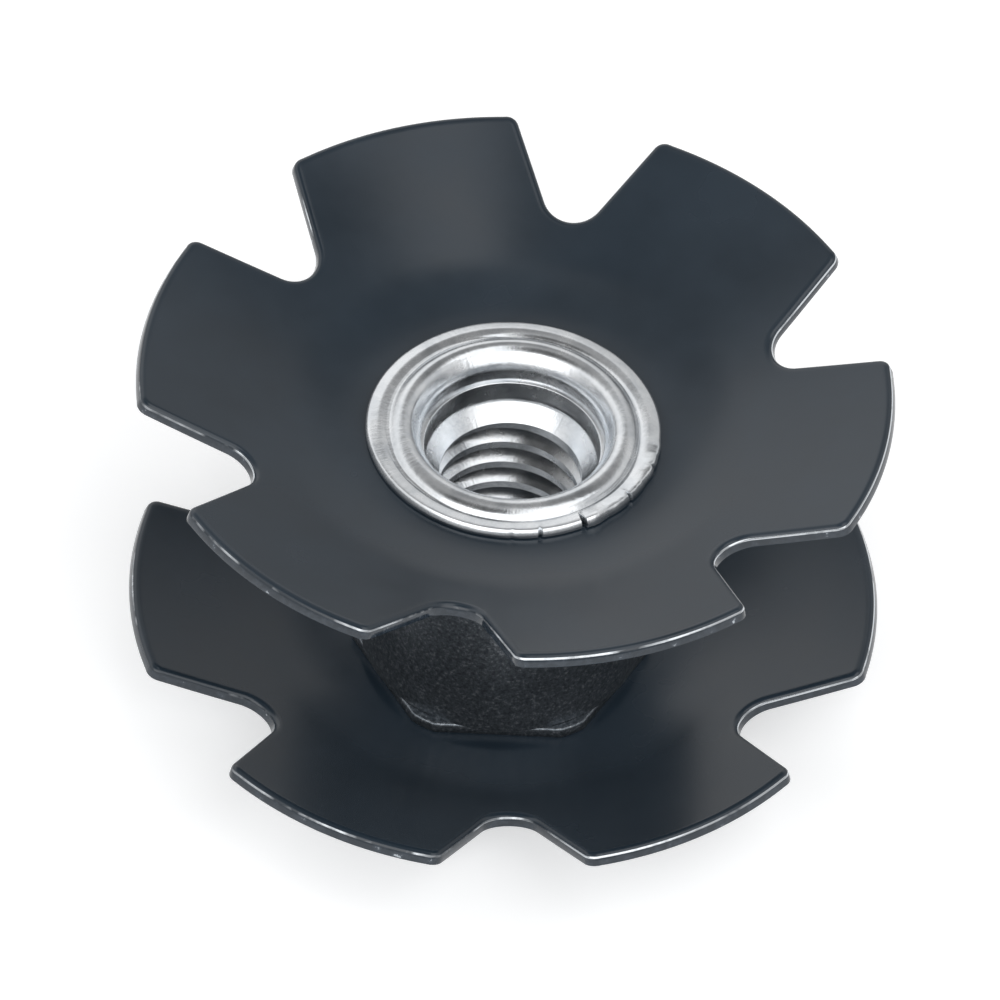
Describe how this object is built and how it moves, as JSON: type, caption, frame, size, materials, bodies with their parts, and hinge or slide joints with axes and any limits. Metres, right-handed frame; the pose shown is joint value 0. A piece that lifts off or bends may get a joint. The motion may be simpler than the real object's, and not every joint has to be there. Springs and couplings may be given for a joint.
{
  "type": "star nut",
  "caption": "Star nut for a steerer tube: two dished, notched spring washers clamped over a round spacer by a flared tube with an internal metric thread.",
  "frame": {"origin": "centre of the flat foot, on the bolt axis", "axes": "+Z along the bolt axis, out of the flared mouth, the way the bolt leaves; +X and +Y in the plane of the foot, with the middle of a notch of the upper washer 21 degrees from +X"},
  "size_m": [0.0264, 0.0264, 0.0142],
  "materials": {
    "coated_spring_steel": "smooth satin black coating over punched and dished spring steel",
    "blasted_black_steel": "matt, grainy black",
    "zinc_plated_steel": "bright zinc plating with light tool marks"
  },
  "bodies": {
    "root": {"upper_star_washer": "coated_spring_steel", "lower_star_washer": "coated_spring_steel", "spacer_sleeve": "blasted_black_steel", "threaded_insert": "zinc_plated_steel"}
  },
  "joints": []
}
